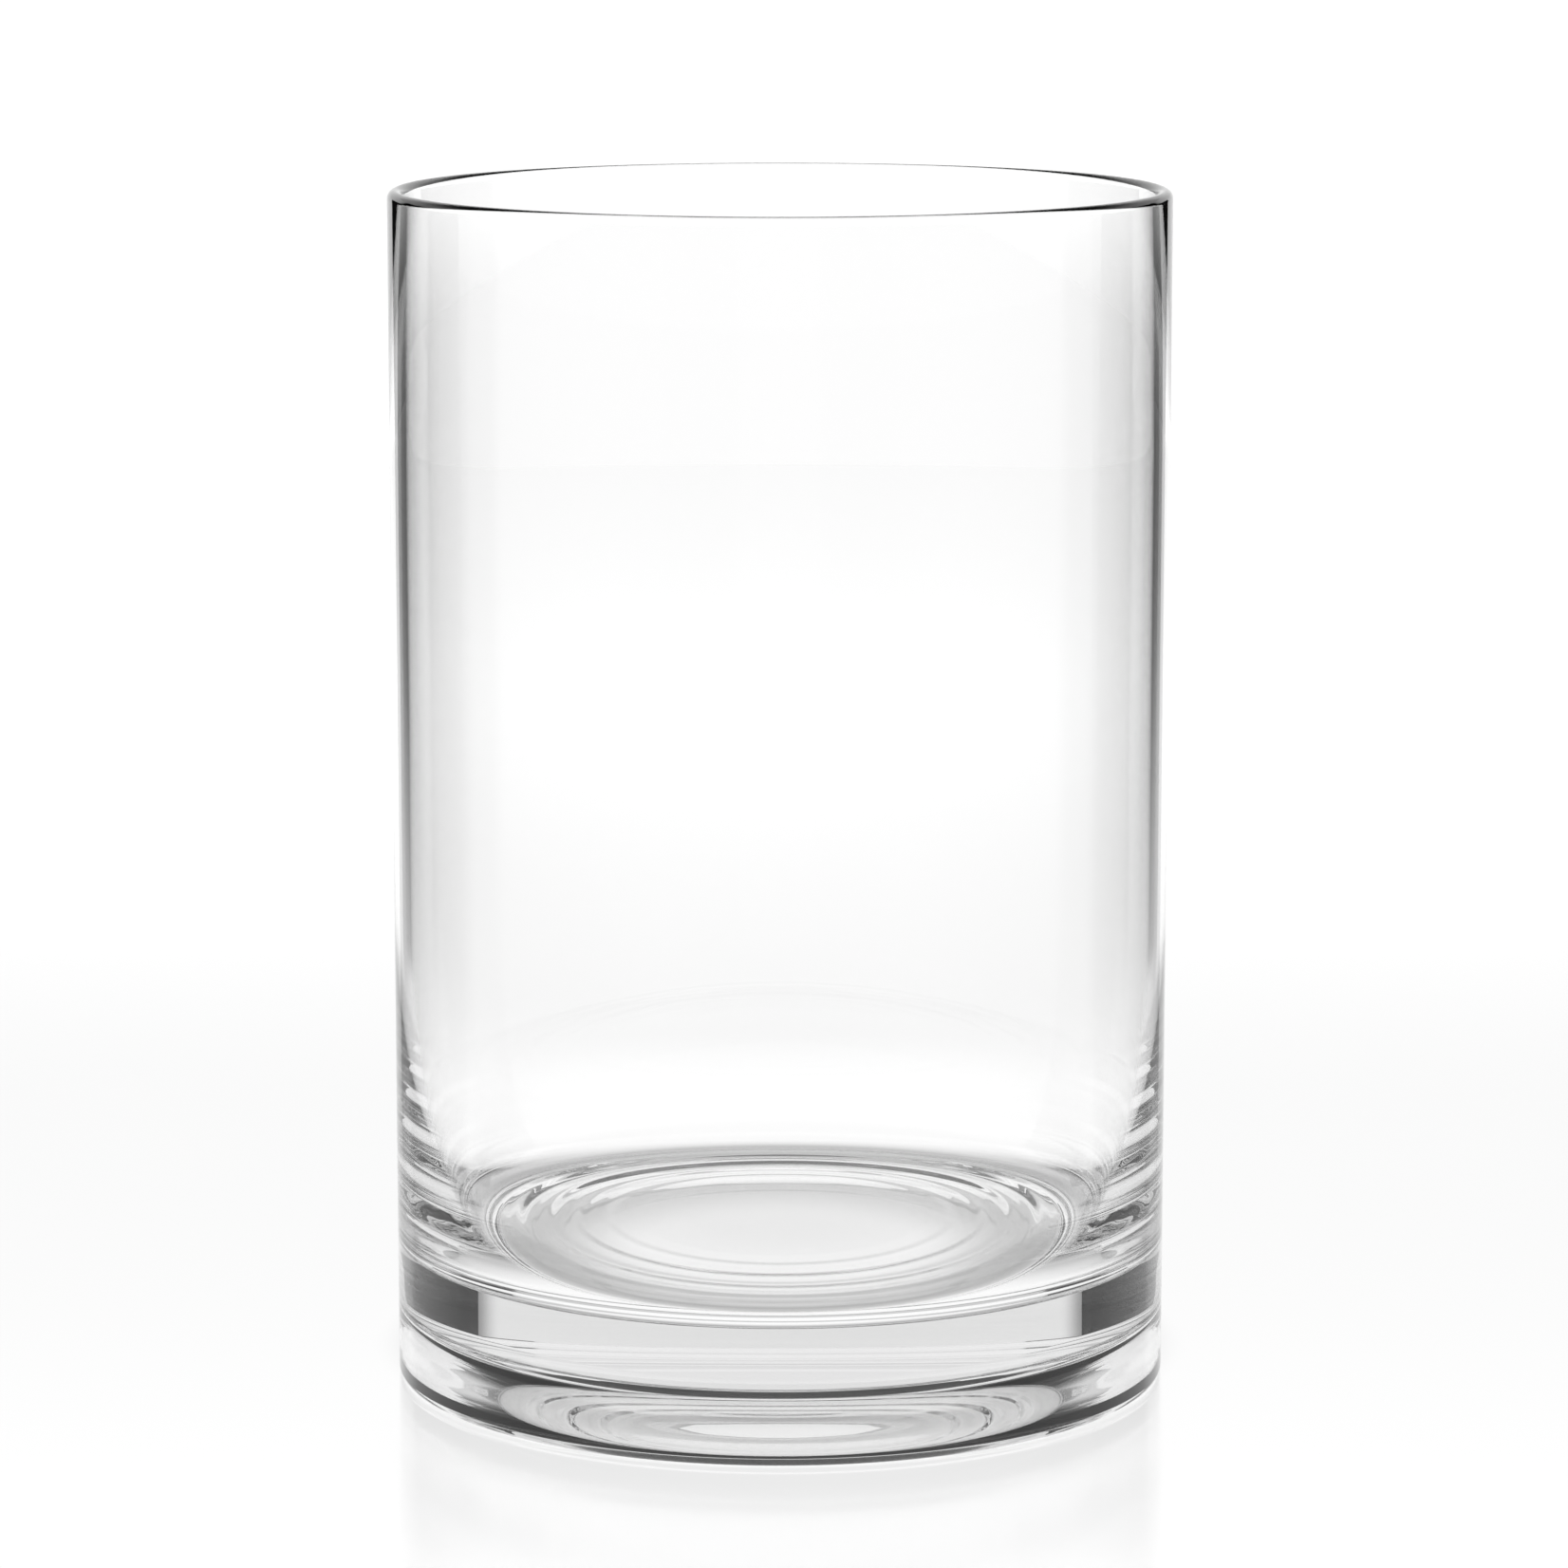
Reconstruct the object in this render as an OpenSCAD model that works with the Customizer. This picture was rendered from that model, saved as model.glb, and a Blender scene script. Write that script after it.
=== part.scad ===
// Clear glass cylinder vase for cut flowers.
// One piece of pressed glass: straight wall, round fire-polished rim, thick base with a recess under it.
// Origin: centre of the foot, on the plane the vase stands on. +Z is up. Millimetres.

/* [Body] */
// Outer diameter of the straight wall
outer_d = 99; // [80:1:150]
// Height from the foot to the top of the rim
vase_h = 152.5; // [120:0.5:300]
// Wall thickness of the straight upper part
wall_t = 2.1; // [1.6:0.1:4]

/* [Inner corner] */
// Height above the foot plane where the inner wall starts to thicken
blend_z = 58.2; // [40:0.1:80]
// Radial reach of the inner corner, from the wall in to the flat floor
corner_reach = 8; // [5:0.1:14]
// How closely the corner keeps to the wall, as a share of its height
wall_pull = 0.93; // [0.4:0.01:0.95]
// How closely the corner keeps to the floor, as a share of its reach
floor_pull = 0.24; // [0.1:0.01:0.8]

/* [Base] */
// Height from the foot plane up to the inner floor
floor_z = 15.8; // [12:0.1:20]
// Rise of the inner floor at its centre
floor_crown = 0.3; // [0:0.1:1]
// Radius of the outer bottom edge
foot_edge_r = 1; // [0.5:0.1:3]
// Width of the flat ring that touches the table
foot_ring_w = 1; // [0.5:0.1:6]
// Depth of the recess under the base
recess_depth = 8; // [1:0.1:9]
// Width of the slope from the foot ring up to the flat top of the recess
recess_slope_w = 9; // [2:0.1:12]

/* [Quality] */
// Segments round the vase
round_segments = 192; // [48:24:360]
// Steps along each curve of the outline
curve_steps = 24; // [12:4:48]

/* [Hidden] */
outer_r = outer_d / 2;
inner_r = outer_r - wall_t;
rim_r = wall_t / 2;
floor_r = inner_r - corner_reach;
corner_h = blend_z - floor_z;
recess_r = outer_r - foot_edge_r - foot_ring_w;
clear_glass = [0.90, 0.94, 0.95, 0.45];

// Points of a round arc of radius r about c, from angle a0 to a1
function arc(c, r, a0, a1) = [
    for (i = [0 : curve_steps])
        let (t = a0 + (a1 - a0) * i / curve_steps)
        c + r * [cos(t), sin(t)]
];

// Points of a cubic curve from a to d, pulled towards b and then c
function cubic(a, b, c, d) = [
    for (i = [0 : curve_steps])
        let (t = i / curve_steps, s = 1 - t)
        s * s * s * a + 3 * s * s * t * b + 3 * s * t * t * c + t * t * t * d
];

// Under side: the flat top of the recess, then its slope, an S curve down to the foot ring
function recess_outline() = concat(
    [[0, recess_depth]],
    [for (i = [0 : curve_steps])
        let (u = i / curve_steps)
        [recess_r - recess_slope_w * (1 - u), recess_depth * (1 - u * u * (3 - 2 * u))]]
);

// Inner corner: the wall thickens slowly, then turns into the floor
function corner_outline() = cubic(
    [inner_r, blend_z],
    [inner_r, blend_z - wall_pull * corner_h],
    [floor_r + floor_pull * corner_reach, floor_z],
    [floor_r, floor_z]
);

// Top of the base, from the edge of the floor in to the axis
function floor_outline() = [
    for (i = [1 : curve_steps])
        let (u = 1 - i / curve_steps)
        [floor_r * u, floor_z + floor_crown * (1 + cos(180 * u)) / 2]
];

// Half section of the vase: radius across, height up
module half_section() {
    polygon(concat(
        recess_outline(),
        arc([outer_r - foot_edge_r, foot_edge_r], foot_edge_r, -90, 0),
        arc([outer_r - rim_r, vase_h - rim_r], rim_r, 0, 180),
        corner_outline(),
        floor_outline()
    ));
}

module glass_vase() {
    color(clear_glass)
        rotate_extrude($fn = round_segments) half_section();
}

glass_vase();
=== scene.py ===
"""Clear glass cylinder vase on a pale polished table, in front of a white backdrop."""

import bpy
import numpy as np
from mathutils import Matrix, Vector


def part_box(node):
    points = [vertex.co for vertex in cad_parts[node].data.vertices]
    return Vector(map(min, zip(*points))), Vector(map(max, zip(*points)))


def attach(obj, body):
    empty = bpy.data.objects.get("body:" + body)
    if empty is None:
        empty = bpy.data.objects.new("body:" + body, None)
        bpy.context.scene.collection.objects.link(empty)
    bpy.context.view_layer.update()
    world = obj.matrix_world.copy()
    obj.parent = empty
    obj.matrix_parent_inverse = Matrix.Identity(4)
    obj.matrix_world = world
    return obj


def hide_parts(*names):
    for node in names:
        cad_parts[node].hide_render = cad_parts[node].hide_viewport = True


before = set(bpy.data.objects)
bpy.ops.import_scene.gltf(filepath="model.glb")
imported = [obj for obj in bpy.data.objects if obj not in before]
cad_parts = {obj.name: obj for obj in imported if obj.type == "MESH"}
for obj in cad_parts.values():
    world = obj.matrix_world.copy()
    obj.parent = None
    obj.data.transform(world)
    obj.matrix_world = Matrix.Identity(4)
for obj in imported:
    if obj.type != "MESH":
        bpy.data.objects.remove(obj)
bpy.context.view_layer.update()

# Vase, in metres. The height comes from the CAD node; the rest repeats part.scad.
NODE = "glass_vase"
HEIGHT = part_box(NODE)[1].z
OUTER_R = 0.0495
WALL = 0.0021
FLOOR_Z = 0.0158
BLEND_Z = 0.0582
CORNER_REACH = 0.0080
WALL_PULL = 0.93
FLOOR_PULL = 0.24
FLOOR_CROWN = 0.0003
FOOT_EDGE_R = 0.001
FOOT_RING = 0.001
RECESS_DEPTH = 0.0080
RECESS_SLOPE = 0.0090
SEGMENTS = 360

# Rings that pressing leaves on the inner floor: where they start and end, their spacing and height,
# and a finer, lower set on top of them
RIPPLE_INNER = 0.018
RIPPLE_OUTER = 0.0478
RIPPLE_LENGTH = 0.0050
RIPPLE_HEIGHT = 0.00009
RIPPLE_FINE_RATE = 2.3
RIPPLE_FINE_SHARE = 0.35

INNER_R = OUTER_R - WALL
RIM_R = WALL / 2
FLOOR_R = INNER_R - CORNER_REACH
CORNER_H = BLEND_Z - FLOOR_Z
RECESS_R = OUTER_R - FOOT_EDGE_R - FOOT_RING

# Glass: grey absorption per metre, and faint waves that set the roughness and the bump
GLASS_IOR = 1.52
GLASS_GREY = (0.5, 0.5, 0.5, 1)
GLASS_DENSITY = 5.0
GLASS_ROUGHNESS = (0.0, 0.012)
WAVE_SPAN = (0.3, 0.7)
WAVE_SCALE = 45.0
WAVE_STRENGTH = 1.0
WAVE_HEIGHT = 0.000005

# Camera, in metres and millimetres of lens
CAMERA_BACK = 0.7577
CAMERA_HEIGHT = 0.2056
CAMERA_SIDE = 0.0005
LENS = 137.7
SENSOR = 36.0
AIM_Z = 0.0763

# Table, in metres and in units of white: a brighter band of painted light under and behind the vase,
# rising towards the backdrop, with a painted shade where the vase stands, and a coat that blurs what
# it mirrors
TABLE_R = 3.0
TABLE_DROP = 0.0001
TABLE_LIGHT = 0.58
PAINTED_POOL_LIGHT = 1.09
PAINTED_POOL_FAR_LIGHT = 2.1
PAINTED_POOL_REACH = (0.15, 0.65)
PAINTED_POOL_SPREAD = 0.15
PAINTED_POOL_SIDE = (0.10, 0.32)
PAINTED_POOL_FRONT = (0.12, 0.45)
SHADE_CENTRE = (0, 0.012, 0)
SHADE_INNER = (0.018, 0.036)
SHADE_OUTER = (0.038, 0.054)
SHADE_LEVELS = (0.85, 0.40)
TABLE_BLUR = 0.12
COAT_FACING = (0.62, 0.90)
COAT_SHARE = 0.85

# Screens behind the table, and the room round it
SCREEN_Y = 1.0
SCREEN_FOOT = -0.001
BACKDROP_HALF_X = 0.48
BACKDROP_TOP = 0.22
BACKDROP_LIGHT = 1.08
SOFTBOX_HALF_X = 0.80
SOFTBOX_TOP = 0.42
SOFTBOX_LIGHT = 0.95
TOPBOX_HALF_X = 0.40
TOPBOX_TOP = 0.70
SCREEN_FADE = (0.17, 0.27)
SCREEN_EDGE = (0.66, 0.82)
SCREEN_EDGE_LEVEL = 0.30
FLAG_END = (1.25, 0.33)
FLAG_TOP = 0.42
FLAG_LIGHT = 0.01
ROOM_LIGHT = 0.70
CEILING_LIGHT = 0.03
CEILING_FADE = (0.36, 0.60)


# ---------------------------------------------------------------- outline and mesh

def arc(centre, radius, start, end, steps):
    """Points (radius, height) on a round arc, angles in degrees."""
    turn = np.radians(np.linspace(start, end, steps + 1))
    return np.array(centre) + radius * np.column_stack([np.cos(turn), np.sin(turn)])


def cubic(a, b, c, d, steps):
    """Points (radius, height) on a cubic curve from a to d, pulled towards b and c."""
    t = np.linspace(0, 1, steps + 1)[:, None]
    a, b, c, d = map(np.array, (a, b, c, d))
    return (1 - t) ** 3 * a + 3 * (1 - t) ** 2 * t * b + 3 * (1 - t) * t * t * c + t ** 3 * d


def line(start, end, steps):
    """Points between two corners, both left out."""
    t = np.linspace(0, 1, steps + 2)[1:-1, None]
    return np.array(start) * (1 - t) + np.array(end) * t


def ripple(points):
    """The same points with the pressing rings, which swell from nothing and die away again."""
    radius = points[:, 0]
    across = np.clip((radius - RIPPLE_INNER) / (RIPPLE_OUTER - RIPPLE_INNER), 0, 1)
    swell = np.sin(np.pi * across) ** 2
    phase = 2 * np.pi * radius / RIPPLE_LENGTH
    wave = np.sin(phase) + RIPPLE_FINE_SHARE * np.sin(RIPPLE_FINE_RATE * phase)
    return points + np.column_stack([np.zeros_like(radius), RIPPLE_HEIGHT * swell * wave])


def outline():
    """Half section from the axis under the base, round the rim, to the axis on the floor."""
    flat_r = RECESS_R - RECESS_SLOPE
    flat = line((0, RECESS_DEPTH), (flat_r, RECESS_DEPTH), 4)
    u = np.linspace(0, 1, 25)
    slope = np.column_stack([flat_r + RECESS_SLOPE * u, RECESS_DEPTH * (1 - u * u * (3 - 2 * u))])
    foot = arc((OUTER_R - FOOT_EDGE_R, FOOT_EDGE_R), FOOT_EDGE_R, -90, 0, 12)
    rim = arc((OUTER_R - RIM_R, HEIGHT - RIM_R), RIM_R, 0, 180, 20)
    corner = cubic((INNER_R, BLEND_Z), (INNER_R, BLEND_Z - WALL_PULL * CORNER_H),
                   (FLOOR_R + FLOOR_PULL * CORNER_REACH, FLOOR_Z), (FLOOR_R, FLOOR_Z), 80)
    v = np.linspace(1, 0, 91)[1:-1]
    floor = np.column_stack([FLOOR_R * v, FLOOR_Z + FLOOR_CROWN * (1 + np.cos(np.pi * v)) / 2])
    return np.vstack([flat, slope, line(slope[-1], foot[0], 2), foot, line(foot[-1], rim[0], 4),
                      rim, line(rim[-1], corner[0], 4), ripple(corner), ripple(floor)])


def lathe(name, points, low_centre, high_centre, segments):
    """Turns a half section round Z into one closed, smooth mesh."""
    turn = np.linspace(0, 2 * np.pi, segments, endpoint=False)
    radius, height = points[:, 0], points[:, 1]
    rings = np.stack([radius[:, None] * np.cos(turn), radius[:, None] * np.sin(turn),
                      np.repeat(height[:, None], segments, 1)], axis=-1)
    verts = [(0, 0, low_centre), *map(tuple, rings.reshape(-1, 3)), (0, 0, high_centre)]
    faces = []
    last = len(points) - 1
    for j in range(segments):
        k = (j + 1) % segments
        faces.append((0, 1 + k, 1 + j))
        faces.append((len(verts) - 1, 1 + last * segments + j, 1 + last * segments + k))
        for i in range(last):
            a = 1 + i * segments
            b = a + segments
            faces.append((a + j, a + k, b + k, b + j))
    mesh = bpy.data.meshes.new(name)
    mesh.from_pydata(verts, [], faces)
    mesh.validate()
    mesh.shade_smooth()
    piece = bpy.data.objects.new(name, mesh)
    bpy.context.scene.collection.objects.link(piece)
    return piece


# ---------------------------------------------------------------- materials

def new_material(name):
    """An empty node material: its nodes, its links and its output node."""
    material = bpy.data.materials.new(name)
    material.use_nodes = True
    nodes = material.node_tree.nodes
    nodes.clear()
    return material, nodes, material.node_tree.links, nodes.new("ShaderNodeOutputMaterial")


def ramp(nodes, links, value, span, levels):
    """A smooth change from one level to the other while value goes through span."""
    change = nodes.new("ShaderNodeMapRange")
    change.interpolation_type = "SMOOTHSTEP"
    change.inputs["From Min"].default_value, change.inputs["From Max"].default_value = span
    change.inputs["To Min"].default_value, change.inputs["To Max"].default_value = levels
    links.new(value, change.inputs["Value"])
    return change.outputs["Result"]


def calculate(nodes, links, operation, *values):
    """One math node: each value is a number or another node's output."""
    step = nodes.new("ShaderNodeMath")
    step.operation = operation
    for socket, value in zip(step.inputs, values):
        if isinstance(value, (int, float)):
            socket.default_value = value
        else:
            links.new(value, socket)
    return step.outputs[0]


def glass_material():
    """Clear soda-lime glass: polished, with the faint waviness of a pressed wall."""
    material, nodes, links, out = new_material("clear_glass")
    glass = nodes.new("ShaderNodeBsdfPrincipled")
    glass.inputs["Base Color"].default_value = (1, 1, 1, 1)
    glass.inputs["Transmission Weight"].default_value = 1
    glass.inputs["IOR"].default_value = GLASS_IOR
    place = nodes.new("ShaderNodeTexCoord")
    waves = nodes.new("ShaderNodeTexNoise")
    waves.inputs["Scale"].default_value = WAVE_SCALE
    waves.inputs["Detail"].default_value = 1
    links.new(place.outputs["Object"], waves.inputs["Vector"])
    roughness = ramp(nodes, links, waves.outputs[0], WAVE_SPAN, GLASS_ROUGHNESS)
    links.new(roughness, glass.inputs["Roughness"])
    bump = nodes.new("ShaderNodeBump")
    bump.inputs["Strength"].default_value = WAVE_STRENGTH
    bump.inputs["Distance"].default_value = WAVE_HEIGHT
    links.new(waves.outputs[0], bump.inputs["Height"])
    links.new(bump.outputs[0], glass.inputs["Normal"])
    links.new(glass.outputs[0], out.inputs["Surface"])
    body = nodes.new("ShaderNodeVolumeAbsorption")
    body.inputs["Color"].default_value = GLASS_GREY
    body.inputs["Density"].default_value = GLASS_DENSITY
    links.new(body.outputs[0], out.inputs["Volume"])
    return material


# ---------------------------------------------------------------- studio

def glow_material(name, low, high):
    """A screen's own light: from the low level to the high one up its height, less at its ends."""
    material, nodes, links, out = new_material(name)
    place = nodes.new("ShaderNodeTexCoord")
    along = nodes.new("ShaderNodeSeparateXYZ")
    links.new(place.outputs["Object"], along.inputs[0])
    level = ramp(nodes, links, along.outputs["Z"], SCREEN_FADE, (low, high))
    across = calculate(nodes, links, "ABSOLUTE", along.outputs["X"])
    edge = ramp(nodes, links, across, SCREEN_EDGE, (1, SCREEN_EDGE_LEVEL))
    lamp = nodes.new("ShaderNodeEmission")
    links.new(calculate(nodes, links, "MULTIPLY", level, edge), lamp.inputs["Strength"])
    links.new(lamp.outputs[0], out.inputs["Surface"])
    return material


def table_material():
    """Pale polished table that gives its own light, under a coat that mirrors at low angles."""
    material, nodes, links, out = new_material("table")
    place = nodes.new("ShaderNodeTexCoord")
    along = nodes.new("ShaderNodeSeparateXYZ")
    links.new(place.outputs["Object"], along.inputs[0])
    x, y = along.outputs["X"], along.outputs["Y"]

    def result(operation, *values):
        return calculate(nodes, links, operation, *values)

    # Painted light: the table glows brighter in a band under and behind the vase, widening and
    # brightening towards the backdrop
    spread = result("MULTIPLY", result("MAXIMUM", y, 0), PAINTED_POOL_SPREAD)
    side = result("SUBTRACT", result("ABSOLUTE", x), spread)
    painted_pool_mask = result("MULTIPLY", ramp(nodes, links, side, PAINTED_POOL_SIDE, (1, 0)),
                    ramp(nodes, links, result("MULTIPLY", y, -1), PAINTED_POOL_FRONT, (1, 0)))
    painted_pool = ramp(nodes, links, y, PAINTED_POOL_REACH,
                  (PAINTED_POOL_LIGHT - TABLE_LIGHT, PAINTED_POOL_FAR_LIGHT - TABLE_LIGHT))
    light = result("MULTIPLY_ADD", painted_pool_mask, painted_pool, TABLE_LIGHT)

    # Painted shade: the glow is darkened round a point just behind the vase's axis, a little at the
    # middle and most in a ring inside the foot, fading out just past it
    reach = nodes.new("ShaderNodeVectorMath")
    reach.operation = "DISTANCE"
    reach.inputs[1].default_value = SHADE_CENTRE
    links.new(place.outputs["Object"], reach.inputs[0])
    distance = reach.outputs["Value"]
    shade = result("MAXIMUM", ramp(nodes, links, distance, SHADE_INNER, SHADE_LEVELS),
                   ramp(nodes, links, distance, SHADE_OUTER, (SHADE_LEVELS[1], 1)))

    lamp = nodes.new("ShaderNodeEmission")
    links.new(result("MULTIPLY", shade, light), lamp.inputs["Strength"])
    coat = nodes.new("ShaderNodeBsdfGlossy")
    coat.inputs["Roughness"].default_value = TABLE_BLUR
    angle = nodes.new("ShaderNodeLayerWeight")
    mix = nodes.new("ShaderNodeMixShader")
    links.new(ramp(nodes, links, angle.outputs["Facing"], COAT_FACING, (0, COAT_SHARE)), mix.inputs[0])
    links.new(lamp.outputs[0], mix.inputs[1])
    links.new(coat.outputs[0], mix.inputs[2])
    links.new(mix.outputs[0], out.inputs["Surface"])
    return material


def plane(name, corners, material):
    """A flat stage piece."""
    mesh = bpy.data.meshes.new(name)
    mesh.from_pydata(corners, [], [tuple(range(len(corners)))])
    mesh.materials.append(material)
    piece = bpy.data.objects.new(name, mesh)
    bpy.context.scene.collection.objects.link(piece)


def screen(name, start, end, low, high, material):
    """An upright stage piece from one floor point to another."""
    (ax, ay), (bx, by) = start, end
    plane(name, [(ax, ay, low), (bx, by, low), (bx, by, high), (ax, ay, high)], material)


def back_screen(name, half_x, low, high, material):
    """A screen across the back of the table."""
    screen(name, (-half_x, SCREEN_Y), (half_x, SCREEN_Y), low, high, material)


def make_stage():
    """Round table, white backdrop between two black flags, and two softboxes above it."""
    turn = np.linspace(0, 2 * np.pi, 96, endpoint=False)
    edge = [(TABLE_R * np.cos(t), TABLE_R * np.sin(t), -TABLE_DROP) for t in turn]
    plane("table", edge, table_material())
    white = glow_material("white_screen", BACKDROP_LIGHT, SOFTBOX_LIGHT)
    black = glow_material("black_flag", FLAG_LIGHT, FLAG_LIGHT)
    back_screen("backdrop", BACKDROP_HALF_X, SCREEN_FOOT, BACKDROP_TOP, white)
    back_screen("softbox", SOFTBOX_HALF_X, BACKDROP_TOP, SOFTBOX_TOP, white)
    back_screen("topbox", TOPBOX_HALF_X, SOFTBOX_TOP, TOPBOX_TOP, white)
    for name, side in (("left", -1), ("right", 1)):
        inner, outer = (side * BACKDROP_HALF_X, SCREEN_Y), (side * SOFTBOX_HALF_X, SCREEN_Y)
        end = (side * FLAG_END[0], FLAG_END[1])
        screen("low_flag_" + name, inner, outer, SCREEN_FOOT, BACKDROP_TOP, black)
        screen("side_flag_" + name, outer, end, SCREEN_FOOT, FLAG_TOP, black)


def make_room():
    """Pale walls all round, darker towards the ceiling."""
    world = bpy.data.worlds.new("room")
    world.use_nodes = True
    nodes, links = world.node_tree.nodes, world.node_tree.links
    direction = nodes.new("ShaderNodeTexCoord")
    height = nodes.new("ShaderNodeSeparateXYZ")
    links.new(direction.outputs["Generated"], height.inputs[0])
    links.new(ramp(nodes, links, height.outputs["Z"], CEILING_FADE, (ROOM_LIGHT, CEILING_LIGHT)),
              nodes["Background"].inputs["Strength"])
    nodes["Background"].inputs["Color"].default_value = (1, 1, 1, 1)
    bpy.context.scene.world = world


def make_camera():
    """In front of the vase and above it, looking down at the middle of its height."""
    data = bpy.data.cameras.new("camera")
    data.lens = LENS
    data.sensor_width = SENSOR
    data.clip_end = 20
    camera = bpy.data.objects.new("camera", data)
    bpy.context.scene.collection.objects.link(camera)
    camera.location = (CAMERA_SIDE, -CAMERA_BACK, CAMERA_HEIGHT)
    aim = Vector((CAMERA_SIDE, 0, AIM_Z)) - camera.location
    camera.rotation_euler = aim.to_track_quat("-Z", "Y").to_euler()
    bpy.context.scene.camera = camera


# ---------------------------------------------------------------- build

make_camera()
make_stage()
make_room()

vase = lathe("vase_glass", outline(), RECESS_DEPTH, FLOOR_Z + FLOOR_CROWN, SEGMENTS)
vase.data.materials.append(glass_material())
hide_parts(NODE)
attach(vase, "root")

scene = bpy.context.scene
scene.view_settings.view_transform = "Standard"
scene.cycles.max_bounces = 32
scene.cycles.transmission_bounces = 32
scene.cycles.glossy_bounces = 16
